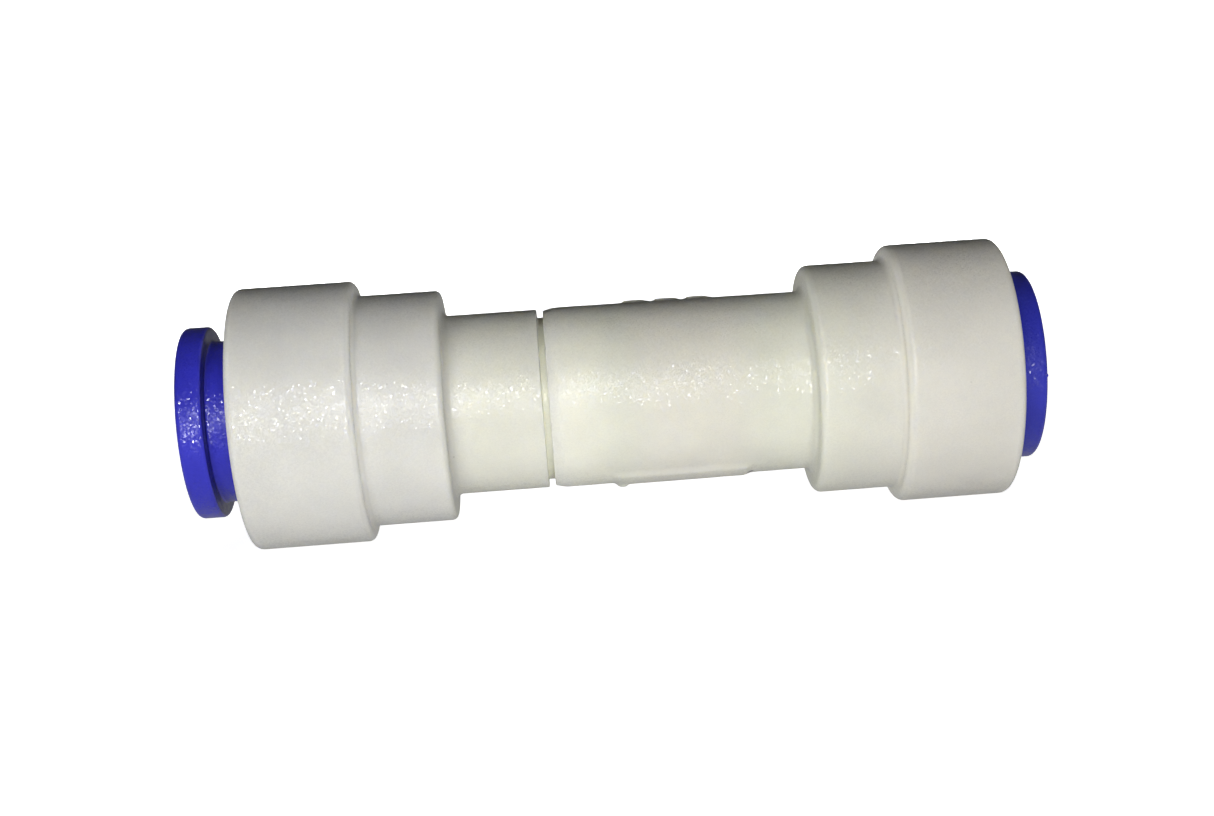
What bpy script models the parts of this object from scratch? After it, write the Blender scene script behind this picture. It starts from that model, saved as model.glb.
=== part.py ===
"""Push-fit check valve coupling for 3/8 inch (9.5 mm) plastic tube.

+X is the flow direction, +Z is up, and the origin is the middle of the overall
length on the flow axis. A turned piece is a closed outline of (x, radius) points
revolved round X; a corner with a third value is rounded by that radius.
Each tube socket runs inwards from its body face: mouth, cone, collet chamber,
O-ring seat, tube seat and tube stop. The valve cartridge fills the barrel.
"""
from math import cos, pi, radians, sin, tan, tau

import bmesh
import bpy
from mathutils import Matrix, Vector

MM = 0.001

# Facets round every turned piece, and steps in every rounded corner.
FACETS = 36
ROUND_STEPS = 2

# Stations along the flow axis, from the inlet to the outlet.
INLET_FACE = -28.29 * MM
INLET_RING_END = -19.23 * MM
INLET_MIDDLE_END = -12.81 * MM
NECK_END = -5.62 * MM
BARREL_START = -5.14 * MM
BARREL_END = 14.88 * MM
OUTLET_RING_START = 21.28 * MM
OUTLET_FACE = 30.05 * MM

# Outer radii of the two body halves.
RING_RADIUS = 10.0 * MM
MIDDLE_RADIUS = 8.85 * MM
NECK_RADIUS = 6.88 * MM
BARREL_START_RADIUS = 6.96 * MM
BARREL_END_RADIUS = 6.89 * MM
OUTER_ROUND = 0.6 * MM
SMALL_ROUND = 0.3 * MM

# Tube socket: depths from the body face, and radii. The tube is 9.53 mm across.
MOUTH_RADIUS = 6.38 * MM
MOUTH_CHAMFER = 0.42 * MM
CONE_START = 2.6 * MM
CONE_END = 5.2 * MM
CHAMBER_RADIUS = 7.55 * MM
CHAMBER_END = 9.4 * MM
O_RING_SEAT_RADIUS = 7.1 * MM
O_RING_SEAT_START = 9.65 * MM
O_RING_SEAT_END = 12.4 * MM
TUBE_SEAT_RADIUS = 4.86 * MM
SOCKET_DEPTH = 20.0 * MM
FLOW_RADIUS = 3.4 * MM

# Welded joint between the halves: a collar and a spigot inside the barrel.
COLLAR_RADIUS = 6.25 * MM
COLLAR_LENGTH = 1.02 * MM
COUNTERBORE_RADIUS = 6.33 * MM
COUNTERBORE_DEPTH = 0.69 * MM
SPIGOT_RADIUS = 5.62 * MM
SPIGOT_END = -2.1 * MM
CARTRIDGE_BORE_RADIUS = 5.7 * MM
WEB_START = 7.65 * MM

# Raised flow chevrons on the barrel and a raised pad opposite them, turned back from the top.
MARK_TURN_FACETS = 2
MARK_HEIGHT = 0.18 * MM
MARK_ROOT = 6.4 * MM
CHEVRONS = 3
CHEVRON_START = 1.0 * MM
CHEVRON_PITCH = 2.45 * MM
CHEVRON_BAR = 1.3 * MM
CHEVRON_REACH = 1.2 * MM
CHEVRON_HALF_WIDTH = 1.65 * MM
PAD_START = -0.4 * MM
PAD_LENGTH = 10.2 * MM
PAD_HALF_FACETS = 1.5

# Collet: distances inwards from its outer face.
COLLET_STAND_OUT = 4.04 * MM
COLLET_TRAVEL = 1.76 * MM
FLANGE_RADIUS = 7.3 * MM
FLANGE_THICKNESS = 1.97 * MM
FLANGE_ROUND = 0.4 * MM
SLEEVE_RADIUS = 6.15 * MM
COLLET_BORE_RADIUS = 4.9 * MM
COLLET_LEAD_IN = 0.5 * MM
HEAD_CONE_START = 6.42 * MM
HEAD_CONE_END = 8.87 * MM
HEAD_RADIUS = 7.25 * MM
HEAD_CHAMFER = 0.35 * MM
COLLET_LENGTH = 10.96 * MM
FINGERS = 6
SLOT_START = 5.26 * MM
SLOT_WIDTH = 1.3 * MM

# Grip tooth: a leaning steel plate moulded into each finger.
TOOTH_OUTER_RADIUS = 6.4 * MM
TOOTH_TIP_RADIUS = 4.62 * MM
TOOTH_ROOT = 8.11 * MM
TOOTH_LEAN = 0.6 * MM
TOOTH_THICKNESS = 0.3 * MM
TOOTH_HALF_ANGLE = radians(13)
TOOTH_GAP = 0.05 * MM

# Seals: O-ring section radius, mean radius and place.
TUBE_SEAL_SECTION = 1.2 * MM
TUBE_SEAL_MEAN = 5.85 * MM
TUBE_SEAL_DEPTH = 11.02 * MM
CARTRIDGE_SEAL_SECTION = 0.55 * MM
CARTRIDGE_SEAL_MEAN = 5.11 * MM
CARTRIDGE_SEAL_X = 0.05 * MM
POPPET_SEAL_SECTION = 0.5 * MM
POPPET_SEAL_MEAN = 3.42 * MM
POPPET_SEAL_X = 1.42 * MM
SEAL_SIDES = 8

# Valve cartridge, stations along the flow axis.
HOUSING_START = -1.95 * MM
HOUSING_END = 7.5 * MM
HOUSING_RADIUS = 5.62 * MM
SEAL_GROOVE_START = -0.6 * MM
SEAL_GROOVE_END = 0.7 * MM
SEAL_GROOVE_RADIUS = 4.5 * MM
SEAT_BORE_RADIUS = 3.3 * MM
SEAT_START = 0.55 * MM
CAGE_START = 2.05 * MM
CAGE_RADIUS = 4.8 * MM
CAGE_LIP_START = 7.15 * MM
CAGE_LIP_RADIUS = 4.45 * MM

# Poppet, closed on its seat.
NOSE_TIP = -0.4 * MM
NOSE_RADIUS = 3.05 * MM
NOSE_START = 0.55 * MM
NOSE_END = 0.86 * MM
POPPET_GROOVE_RADIUS = 2.88 * MM
DISC_START = 1.98 * MM
DISC_END = 2.75 * MM
DISC_RADIUS = 3.95 * MM
BOSS_END = 4.35 * MM
BOSS_RADIUS = 1.5 * MM
STEM_END = 7.05 * MM
STEM_RADIUS = 1.0 * MM
STEM_CHAMFER = 0.25 * MM

# Spring guide: a hub on three legs inside a ring.
GUIDE_START = 6.05 * MM
GUIDE_END = 7.1 * MM
GUIDE_RADIUS = 4.72 * MM
GUIDE_BORE_RADIUS = 1.12 * MM
GUIDE_HUB_RADIUS = 2.5 * MM
GUIDE_RING_INNER = 4.0 * MM
GUIDE_WINDOWS = 3
GUIDE_WINDOW_ANGLE = radians(100)

# Valve spring between the poppet's disc and the guide's hub.
WIRE_RADIUS = 0.175 * MM
SPRING_RADIUS = 2.0 * MM
SPRING_CLEARANCE = 0.055 * MM
SPRING_TURNS = 4.5
SPRING_STEPS_PER_TURN = 12

WHITE_PLASTIC = ((0.80, 0.80, 0.76), 0.45, 0.0)
BLUE_PLASTIC = ((0.04, 0.035, 0.42), 0.35, 0.0)
BLACK_RUBBER = ((0.015, 0.015, 0.016), 0.6, 0.0)
STEEL = ((0.55, 0.56, 0.57), 0.3, 1.0)
GREY_PLASTIC = ((0.62, 0.63, 0.64), 0.45, 0.0)


def clear_scene():
    """Remove every object that the file holds."""
    for old in list(bpy.data.objects):
        bpy.data.objects.remove(old)


def rounded(corners):
    """Turn the corners of a closed outline into points, with arcs where they are rounded."""
    points = []
    for number, corner in enumerate(corners):
        place = Vector(corner[:2])
        if len(corner) == 2:
            points.append(place)
            continue
        rounding = corner[2]
        to_last = (Vector(corners[number - 1][:2]) - place).normalized()
        to_next = (Vector(corners[(number + 1) % len(corners)][:2]) - place).normalized()
        half_angle = to_last.angle(to_next) / 2
        centre = place + (to_last + to_next).normalized() * rounding / sin(half_angle)
        first = place + to_last * rounding / tan(half_angle) - centre
        last = place + to_next * rounding / tan(half_angle) - centre
        for step in range(ROUND_STEPS + 1):
            points.append(centre + first.lerp(last, step / ROUND_STEPS).normalized() * rounding)
    return points


def bmesh_to_mesh(name, shape):
    """Finish a bmesh with outward faces and smooth round sides, as a mesh."""
    bmesh.ops.remove_doubles(shape, verts=shape.verts, dist=0.0001 * MM)
    bmesh.ops.recalc_face_normals(shape, faces=shape.faces)
    mesh = bpy.data.meshes.new(name)
    shape.to_mesh(mesh)
    shape.free()
    mesh.shade_smooth()
    mesh.set_sharp_from_angle(angle=radians(30))
    return mesh


def revolved(name, corners, angles=None):
    """Revolve a closed outline round X, fully, or as a sector through the given angles."""
    points = rounded(corners)
    whole = angles is None
    if whole:
        angles = [(number + 0.5) * tau / FACETS for number in range(FACETS)]
    shape = bmesh.new()
    slices = []
    for angle in angles:
        slices.append([shape.verts.new((x, r * sin(angle), r * cos(angle))) for x, r in points])
    followers = slices[1:] + slices[:1] if whole else slices[1:]
    for one, other in zip(slices, followers):
        for number in range(len(points)):
            shape.faces.new((one[number - 1], one[number], other[number], other[number - 1]))
    if not whole:
        shape.faces.new(slices[0])
        shape.faces.new(slices[-1])
    return bmesh_to_mesh(name, shape)


def extruded(name, outline, low, high):
    """Extrude an outline of (x, y) points from height low to height high."""
    shape = bmesh.new()
    bottom = shape.faces.new([shape.verts.new((x, y, low)) for x, y in outline])
    sides = bmesh.ops.extrude_face_region(shape, geom=[bottom])
    top = [item for item in sides["geom"] if isinstance(item, bmesh.types.BMVert)]
    bmesh.ops.translate(shape, verts=top, vec=(0, 0, high - low))
    return bmesh_to_mesh(name, shape)


def combined(mesh, other, operation):
    """Give the mesh after a Boolean with the other mesh, and remove the other."""
    base = bpy.data.objects.new("base", mesh)
    tool = bpy.data.objects.new("tool", other)
    bpy.context.collection.objects.link(base)
    bpy.context.collection.objects.link(tool)
    boolean = base.modifiers.new("Boolean", "BOOLEAN")
    boolean.operation = operation
    boolean.solver = "EXACT"
    boolean.object = tool
    evaluated = base.evaluated_get(bpy.context.evaluated_depsgraph_get())
    result = bpy.data.meshes.new_from_object(evaluated)
    result.name = mesh.name
    bpy.data.objects.remove(base)
    bpy.data.objects.remove(tool)
    result.set_sharp_from_angle(angle=radians(30))
    return result


def joined(name, meshes):
    """Put separate meshes into one mesh."""
    shape = bmesh.new()
    for mesh in meshes:
        shape.from_mesh(mesh)
    return bmesh_to_mesh(name, shape)


def material(name, finish):
    """Make a Principled material from a colour, a roughness and a metallic value."""
    colour, roughness, metallic = finish
    made = bpy.data.materials.new(name)
    made.use_nodes = True
    shader = made.node_tree.nodes["Principled BSDF"]
    shader.inputs["Base Color"].default_value = (*colour, 1.0)
    shader.inputs["Roughness"].default_value = roughness
    shader.inputs["Metallic"].default_value = metallic
    made.diffuse_color = (*colour, 1.0)
    return made


def place(name, mesh, finish, parent=None):
    """Add a piece to the scene, on its parent where it has one."""
    piece = bpy.data.objects.new(name, mesh)
    bpy.context.collection.objects.link(piece)
    piece.parent = parent
    if not mesh.materials:
        mesh.materials.append(material(name, finish))
    return piece


def place_empty(name, x, turn=0.0):
    """Add an empty on the flow axis, which carries the pieces that slide together."""
    empty = bpy.data.objects.new(name, None)
    bpy.context.collection.objects.link(empty)
    empty.location = (x, 0, 0)
    empty.rotation_euler = (0, 0, turn)
    empty.empty_display_size = 3 * MM
    return empty


def socket_outline(face, inwards):
    """Give a tube socket's corners from its mouth to the flow bore; inwards is 1 or -1."""
    depths = [
        (0, MOUTH_RADIUS + MOUTH_CHAMFER),
        (MOUTH_CHAMFER, MOUTH_RADIUS),
        (CONE_START, MOUTH_RADIUS),
        (CONE_END, CHAMBER_RADIUS),
        (CHAMBER_END, CHAMBER_RADIUS),
        (O_RING_SEAT_START, O_RING_SEAT_RADIUS),
        (O_RING_SEAT_END, O_RING_SEAT_RADIUS),
        (O_RING_SEAT_END, TUBE_SEAT_RADIUS),
        (SOCKET_DEPTH, TUBE_SEAT_RADIUS),
        (SOCKET_DEPTH, FLOW_RADIUS),
    ]
    return [(face + inwards * depth, radius) for depth, radius in depths]


def make_inlet_body():
    """The inlet half: ring, middle and neck outside, and the spigot that enters the barrel."""
    collar_end = NECK_END + COLLAR_LENGTH
    corners = [
        (INLET_FACE, RING_RADIUS, OUTER_ROUND),
        (INLET_RING_END, RING_RADIUS, OUTER_ROUND),
        (INLET_RING_END, MIDDLE_RADIUS),
        (INLET_MIDDLE_END, MIDDLE_RADIUS, OUTER_ROUND),
        (INLET_MIDDLE_END, NECK_RADIUS),
        (NECK_END, NECK_RADIUS, SMALL_ROUND),
        (NECK_END, COLLAR_RADIUS),
        (collar_end, COLLAR_RADIUS),
        (collar_end, SPIGOT_RADIUS),
        (SPIGOT_END, SPIGOT_RADIUS),
        (SPIGOT_END, FLOW_RADIUS),
    ]
    corners += reversed(socket_outline(INLET_FACE, 1))
    place("inlet_body", revolved("inlet_body", corners), WHITE_PLASTIC)


def mark_outline(start, finish):
    """The section of a raised mark: from inside the barrel's wall to the mark's height."""
    return [
        (start, MARK_ROOT),
        (finish, MARK_ROOT),
        (finish, BARREL_END_RADIUS + MARK_HEIGHT),
        (start, BARREL_START_RADIUS + MARK_HEIGHT),
    ]


def chevron(number):
    """One chevron of the flow arrow, as a block that stands through the top of the barrel."""
    back = CHEVRON_START + number * CHEVRON_PITCH
    outline = [
        (back, -CHEVRON_HALF_WIDTH),
        (back + CHEVRON_BAR, -CHEVRON_HALF_WIDTH),
        (back + CHEVRON_BAR + CHEVRON_REACH, 0),
        (back + CHEVRON_BAR, CHEVRON_HALF_WIDTH),
        (back, CHEVRON_HALF_WIDTH),
        (back + CHEVRON_REACH, 0),
    ]
    return extruded("chevron", outline, 0, RING_RADIUS)


def flow_marks():
    """The raised chevrons and the raised pad, which follow the barrel's curve."""
    chevrons = joined("chevrons", [chevron(number) for number in range(CHEVRONS)])
    skin = revolved("skin", mark_outline(BARREL_START, BARREL_END))
    pad_half = PAD_HALF_FACETS * tau / FACETS
    pad_angles = [pi - pad_half + step * tau / FACETS for step in range(int(2 * PAD_HALF_FACETS) + 1)]
    pad = revolved("pad", mark_outline(PAD_START, PAD_START + PAD_LENGTH), pad_angles)
    marks = joined("flow_marks", [combined(chevrons, skin, "INTERSECT"), pad])
    marks.transform(Matrix.Rotation(-MARK_TURN_FACETS * tau / FACETS, 4, "X"))
    return marks


def make_outlet_body():
    """The outlet half: barrel, middle and ring outside, and the cartridge bore inside."""
    counterbore_end = BARREL_START + COUNTERBORE_DEPTH
    corners = [
        (BARREL_START, BARREL_START_RADIUS, SMALL_ROUND),
        (BARREL_END, BARREL_END_RADIUS),
        (BARREL_END, MIDDLE_RADIUS, OUTER_ROUND),
        (OUTLET_RING_START, MIDDLE_RADIUS),
        (OUTLET_RING_START, RING_RADIUS, OUTER_ROUND),
        (OUTLET_FACE, RING_RADIUS, OUTER_ROUND),
    ]
    corners += socket_outline(OUTLET_FACE, -1)
    corners += [
        (WEB_START, FLOW_RADIUS),
        (WEB_START, CARTRIDGE_BORE_RADIUS),
        (counterbore_end, CARTRIDGE_BORE_RADIUS),
        (counterbore_end, COUNTERBORE_RADIUS),
        (BARREL_START, COUNTERBORE_RADIUS),
    ]
    shell = revolved("outlet_body", corners)
    place("outlet_body", combined(shell, flow_marks(), "UNION"), WHITE_PLASTIC)


def finger_angle(finger):
    """The angle of a finger's middle round the flow axis."""
    return (finger + 0.5) * tau / FINGERS


def finger_slot(slot):
    """The cutter between two fingers: a bar from inside the bore to outside the head."""
    start = SLOT_START
    finish = COLLET_LENGTH + 1 * MM
    half = SLOT_WIDTH / 2
    outline = [(start, -half), (finish, -half), (finish, half), (start, half)]
    mesh = extruded("slot", outline, COLLET_BORE_RADIUS / 2, HEAD_RADIUS + 1 * MM)
    turn = slot * tau / FINGERS
    for vertex in mesh.vertices:
        x, y, z = vertex.co
        vertex.co = (x, y * cos(turn) + z * sin(turn), z * cos(turn) - y * sin(turn))
    return mesh


def tooth_mesh(name, finger, gap=0.0):
    """A leaning plate in one finger; with a gap, it is the pocket that the plate sits in."""
    outer_radius = TOOTH_OUTER_RADIUS + gap
    tip_radius = TOOTH_TIP_RADIUS - gap
    root = TOOTH_ROOT - gap
    thickness = TOOTH_THICKNESS + 2 * gap
    outline = [
        (root, outer_radius),
        (root + TOOTH_LEAN, tip_radius),
        (root + TOOTH_LEAN + thickness, tip_radius),
        (root + thickness, outer_radius),
    ]
    middle = finger_angle(finger)
    half_angle = TOOTH_HALF_ANGLE + gap / TOOTH_TIP_RADIUS
    facet_half = pi / FACETS
    angles = [middle + turn for turn in (-half_angle, -facet_half, facet_half, half_angle)]
    return revolved(name, outline, angles)


def collet_mesh():
    """Flange, sleeve and six fingers with coned heads, open to the fingers' free end."""
    corners = [
        (0, COLLET_BORE_RADIUS + COLLET_LEAD_IN),
        (0, FLANGE_RADIUS, FLANGE_ROUND),
        (FLANGE_THICKNESS, FLANGE_RADIUS, FLANGE_ROUND),
        (FLANGE_THICKNESS, SLEEVE_RADIUS),
        (HEAD_CONE_START, SLEEVE_RADIUS),
        (HEAD_CONE_END, HEAD_RADIUS),
        (COLLET_LENGTH - HEAD_CHAMFER, HEAD_RADIUS),
        (COLLET_LENGTH, HEAD_RADIUS - HEAD_CHAMFER),
        (COLLET_LENGTH, COLLET_BORE_RADIUS),
        (COLLET_LEAD_IN, COLLET_BORE_RADIUS),
    ]
    slots = joined("slots", [finger_slot(number) for number in range(FINGERS)])
    pockets = [tooth_mesh("pocket", number, TOOTH_GAP) for number in range(FINGERS)]
    slotted = combined(revolved("collet", corners), slots, "DIFFERENCE")
    return combined(slotted, joined("pockets", pockets), "DIFFERENCE")


def make_collets():
    """Both collets with their teeth: the inlet's fully out and the outlet's pushed in."""
    mesh = collet_mesh()
    teeth = [tooth_mesh("grip_tooth", number) for number in range(FINGERS)]
    outlet_stand_out = COLLET_STAND_OUT - COLLET_TRAVEL
    ends = [
        ("inlet", place_empty("inlet_collet_slide", INLET_FACE - COLLET_STAND_OUT)),
        ("outlet", place_empty("outlet_collet_slide", OUTLET_FACE + outlet_stand_out, pi)),
    ]
    for end, slide in ends:
        place(f"{end}_collet", mesh, BLUE_PLASTIC, slide)
        for number, tooth in enumerate(teeth, start=1):
            place(f"{end}_grip_tooth_{number}", tooth, STEEL, slide)


def seal_mesh(name, x, mean_radius, section):
    """An O-ring of round section round the flow axis."""
    corners = []
    for side in range(SEAL_SIDES):
        angle = (side + 0.5) * tau / SEAL_SIDES
        corners.append((x + section * cos(angle), mean_radius + section * sin(angle)))
    return revolved(name, corners)


def make_tube_seals():
    """The O-ring in each socket that seals round the tube."""
    places = [
        ("inlet_tube_o_ring", INLET_FACE + TUBE_SEAL_DEPTH),
        ("outlet_tube_o_ring", OUTLET_FACE - TUBE_SEAL_DEPTH),
    ]
    for name, x in places:
        place(name, seal_mesh(name, x, TUBE_SEAL_MEAN, TUBE_SEAL_SECTION), BLACK_RUBBER)


def make_valve_housing():
    """The cartridge's housing: seal groove outside, seat and cage inside."""
    corners = [
        (HOUSING_START, HOUSING_RADIUS),
        (SEAL_GROOVE_START, HOUSING_RADIUS),
        (SEAL_GROOVE_START, SEAL_GROOVE_RADIUS),
        (SEAL_GROOVE_END, SEAL_GROOVE_RADIUS),
        (SEAL_GROOVE_END, HOUSING_RADIUS),
        (HOUSING_END, HOUSING_RADIUS),
        (HOUSING_END, CAGE_LIP_RADIUS),
        (CAGE_LIP_START, CAGE_LIP_RADIUS),
        (CAGE_LIP_START, CAGE_RADIUS),
        (CAGE_START, CAGE_RADIUS),
        (SEAT_START, SEAT_BORE_RADIUS),
        (HOUSING_START, SEAT_BORE_RADIUS),
    ]
    place("valve_housing", revolved("valve_housing", corners), GREY_PLASTIC)
    seal = seal_mesh("valve_housing_o_ring", CARTRIDGE_SEAL_X, CARTRIDGE_SEAL_MEAN,
                     CARTRIDGE_SEAL_SECTION)
    place("valve_housing_o_ring", seal, BLACK_RUBBER)


def make_poppet():
    """The poppet, its seal on the seat, and its stem in the spring guide."""
    slide = place_empty("poppet_slide", POPPET_SEAL_X)
    corners = [
        (NOSE_TIP, 0),
        (NOSE_START, NOSE_RADIUS),
        (NOSE_END, NOSE_RADIUS),
        (NOSE_END, POPPET_GROOVE_RADIUS),
        (DISC_START, POPPET_GROOVE_RADIUS),
        (DISC_START, DISC_RADIUS),
        (DISC_END, DISC_RADIUS),
        (DISC_END, BOSS_RADIUS),
        (BOSS_END, BOSS_RADIUS),
        (BOSS_END, STEM_RADIUS),
        (STEM_END - STEM_CHAMFER, STEM_RADIUS),
        (STEM_END, STEM_RADIUS - STEM_CHAMFER),
        (STEM_END, 0),
    ]
    corners = [(x - POPPET_SEAL_X, radius) for x, radius in corners]
    place("poppet", revolved("poppet", corners), GREY_PLASTIC, slide)
    seal = seal_mesh("poppet_seal", 0, POPPET_SEAL_MEAN, POPPET_SEAL_SECTION)
    place("poppet_seal", seal, BLACK_RUBBER, slide)


def make_spring_guide():
    """The guide behind the poppet: a disc with three windows for the flow."""
    corners = [
        (GUIDE_START, GUIDE_BORE_RADIUS),
        (GUIDE_START, GUIDE_RADIUS),
        (GUIDE_END, GUIDE_RADIUS),
        (GUIDE_END, GUIDE_BORE_RADIUS),
    ]
    window = [
        (GUIDE_START - 1 * MM, GUIDE_HUB_RADIUS),
        (GUIDE_START - 1 * MM, GUIDE_RING_INNER),
        (GUIDE_END + 1 * MM, GUIDE_RING_INNER),
        (GUIDE_END + 1 * MM, GUIDE_HUB_RADIUS),
    ]
    windows = []
    for number in range(GUIDE_WINDOWS):
        start = number * tau / GUIDE_WINDOWS
        angles = [start + GUIDE_WINDOW_ANGLE * step / 10 for step in range(11)]
        windows.append(revolved("window", window, angles))
    disc = revolved("spring_guide", corners)
    mesh = combined(disc, joined("windows", windows), "DIFFERENCE")
    place("spring_guide", mesh, GREY_PLASTIC)


def make_valve_spring():
    """The coil spring that closes the poppet."""
    first = DISC_END + WIRE_RADIUS + SPRING_CLEARANCE
    last = GUIDE_START - WIRE_RADIUS - SPRING_CLEARANCE
    steps = int(SPRING_TURNS * SPRING_STEPS_PER_TURN)
    curve = bpy.data.curves.new("valve_spring", "CURVE")
    curve.dimensions = "3D"
    curve.bevel_depth = WIRE_RADIUS
    curve.bevel_resolution = 1
    curve.use_fill_caps = True
    coil = curve.splines.new("POLY")
    coil.points.add(steps)
    for step, point in enumerate(coil.points):
        turn = tau * step / SPRING_STEPS_PER_TURN
        x = first + (last - first) * step / steps
        point.co = (x, SPRING_RADIUS * sin(turn), SPRING_RADIUS * cos(turn), 1)
    place("valve_spring", curve, STEEL)


clear_scene()
make_inlet_body()
make_outlet_body()
make_collets()
make_tube_seals()
make_valve_housing()
make_poppet()
make_spring_guide()
make_valve_spring()
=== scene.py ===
"""Looks of the push-fit check valve coupling.

Every piece is a fine mesh in the CAD frame, in metres: +X is the flow direction
and +Z is up. Turned pieces are closed outlines of (x, radius) corners revolved
round X, where a corner's third value is its rounding. The collets and the
poppet follow their joints; the spring rides on the housing.
"""
from math import cos, hypot, pi, radians, sin, sqrt, tan, tau

import bmesh
import bpy
from mathutils import Matrix, Vector


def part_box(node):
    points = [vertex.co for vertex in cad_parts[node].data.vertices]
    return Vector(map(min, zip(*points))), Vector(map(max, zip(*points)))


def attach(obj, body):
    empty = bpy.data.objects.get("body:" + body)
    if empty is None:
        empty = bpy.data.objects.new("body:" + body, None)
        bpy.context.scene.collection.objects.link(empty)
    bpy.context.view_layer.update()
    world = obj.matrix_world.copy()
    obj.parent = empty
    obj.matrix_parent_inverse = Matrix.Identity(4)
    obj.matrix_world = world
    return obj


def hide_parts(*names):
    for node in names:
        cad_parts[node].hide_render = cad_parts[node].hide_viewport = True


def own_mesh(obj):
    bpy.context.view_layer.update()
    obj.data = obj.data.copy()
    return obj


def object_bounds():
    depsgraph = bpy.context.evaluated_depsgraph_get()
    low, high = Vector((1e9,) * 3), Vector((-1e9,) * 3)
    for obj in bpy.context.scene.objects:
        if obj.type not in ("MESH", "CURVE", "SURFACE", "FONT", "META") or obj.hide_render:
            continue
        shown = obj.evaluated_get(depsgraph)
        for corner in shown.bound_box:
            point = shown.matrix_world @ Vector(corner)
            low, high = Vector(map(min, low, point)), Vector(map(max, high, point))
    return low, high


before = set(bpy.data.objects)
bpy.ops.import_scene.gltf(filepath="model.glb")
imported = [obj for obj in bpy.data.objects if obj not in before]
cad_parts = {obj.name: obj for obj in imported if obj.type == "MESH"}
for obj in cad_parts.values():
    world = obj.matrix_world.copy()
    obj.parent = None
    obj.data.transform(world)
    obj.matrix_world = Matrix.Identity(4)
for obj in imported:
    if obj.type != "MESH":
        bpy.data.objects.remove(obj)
cad_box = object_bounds()

MM = 0.001

# The CAD nodes' boxes give the stations that the visual pieces share with them.
INLET_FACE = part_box("inlet_body")[0].x
SPIGOT_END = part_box("inlet_body")[1].x
BARREL_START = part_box("outlet_body")[0].x
OUTLET_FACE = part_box("outlet_body")[1].x
HOUSING_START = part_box("valve_housing")[0].x
HOUSING_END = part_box("valve_housing")[1].x
NOSE_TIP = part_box("poppet")[0].x
STEM_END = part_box("poppet")[1].x
GUIDE_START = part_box("spring_guide")[0].x
GUIDE_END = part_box("spring_guide")[1].x
INLET_COLLET_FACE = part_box("inlet_collet")[0].x
OUTLET_COLLET_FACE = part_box("outlet_collet")[1].x

# Outside of the two body halves.
INLET_RING_END = INLET_FACE + 9.06 * MM
INLET_MIDDLE_END = INLET_FACE + 15.48 * MM
NECK_END = INLET_FACE + 22.67 * MM
BARREL_END = OUTLET_FACE - 15.17 * MM
OUTLET_RING_START = OUTLET_FACE - 8.77 * MM
RING_RADIUS = 10.0 * MM
MIDDLE_RADIUS = 8.85 * MM
NECK_RADIUS = 6.88 * MM
BARREL_START_RADIUS = 6.96 * MM
BARREL_END_RADIUS = 6.89 * MM
FACE_ROUND = 0.58 * MM
INLET_RING_ROUND = 0.5 * MM
INLET_MIDDLE_ROUND = 0.45 * MM
OUTLET_RING_ROUND = 0.65 * MM
OUTLET_MIDDLE_ROUND = 0.6 * MM
RING_FILLET = 0.42 * MM
MIDDLE_FILLET = 0.55 * MM

# Tube socket, as depths from the body face.
MOUTH_RADIUS = 6.38 * MM
MOUTH_ROUND = 0.4 * MM
CONE_START = 2.6 * MM
CONE_END = 5.2 * MM
CHAMBER_RADIUS = 7.55 * MM
CHAMBER_END = 9.4 * MM
O_RING_SEAT_RADIUS = 7.1 * MM
O_RING_SEAT_START = 9.65 * MM
O_RING_SEAT_END = 12.4 * MM
TUBE_SEAT_RADIUS = 4.86 * MM
SOCKET_DEPTH = 20.0 * MM
FLOW_RADIUS = 3.4 * MM

# Joint between the halves.
COLLAR_END = NECK_END + 1.02 * MM
COLLAR_RADIUS = 6.25 * MM
COUNTERBORE_END = BARREL_START + 0.69 * MM
COUNTERBORE_RADIUS = 6.33 * MM
SPIGOT_RADIUS = 5.62 * MM
CARTRIDGE_BORE_RADIUS = 5.7 * MM
WEB_START = HOUSING_END + 0.15 * MM

# Raised marks on the barrel: chevrons, a pad opposite them and a nub, turned back from the top.
MARK_TURN = radians(20)
MARK_HEIGHT = 0.18 * MM
MARK_EDGE = 0.16 * MM
PAD_EDGE = 0.9 * MM
PAD_END_EDGE = 0.8 * MM
CHEVRONS = 3
CHEVRON_START = 1.0 * MM
CHEVRON_PITCH = 2.45 * MM
CHEVRON_BAR = 1.3 * MM
CHEVRON_REACH = 1.2 * MM
CHEVRON_HALF_WIDTH = 1.65 * MM
PAD_START = -0.4 * MM
PAD_LENGTH = 10.2 * MM
PAD_HALF_ANGLE = radians(15)
MARK_STEP = 0.1 * MM
NUB_ANGLE = radians(190)
NUB_RADIUS = 0.4 * MM
MARKS_END = BARREL_END - 1 * MM
MARK_MARGIN = 0.5 * MM

# The barrel's rim drops a little towards the gap.
BARREL_LEAD_DROP = 0.2 * MM
BARREL_LEAD_LENGTH = 0.8 * MM

# Collet, as distances inwards from its outer face.
COLLET_LENGTH = 10.96 * MM
FLANGE_RADIUS = 7.3 * MM
FLANGE_THICKNESS = 1.97 * MM
FLANGE_FACE_ROUND = 0.38 * MM
FLANGE_BACK_ROUND = 0.3 * MM
NIB_RADIUS = 0.16 * MM
NIB_INSET = 0.14 * MM
SLEEVE_RADIUS = 6.15 * MM
COLLET_BORE_RADIUS = 4.9 * MM
COLLET_LEAD_IN = 0.5 * MM
HEAD_CONE_START = 6.42 * MM
HEAD_CONE_END = 8.87 * MM
HEAD_RADIUS = 7.25 * MM
FINGERS = 6
SLOT_START = 5.26 * MM
SLOT_WIDTH = 1.3 * MM

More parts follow.
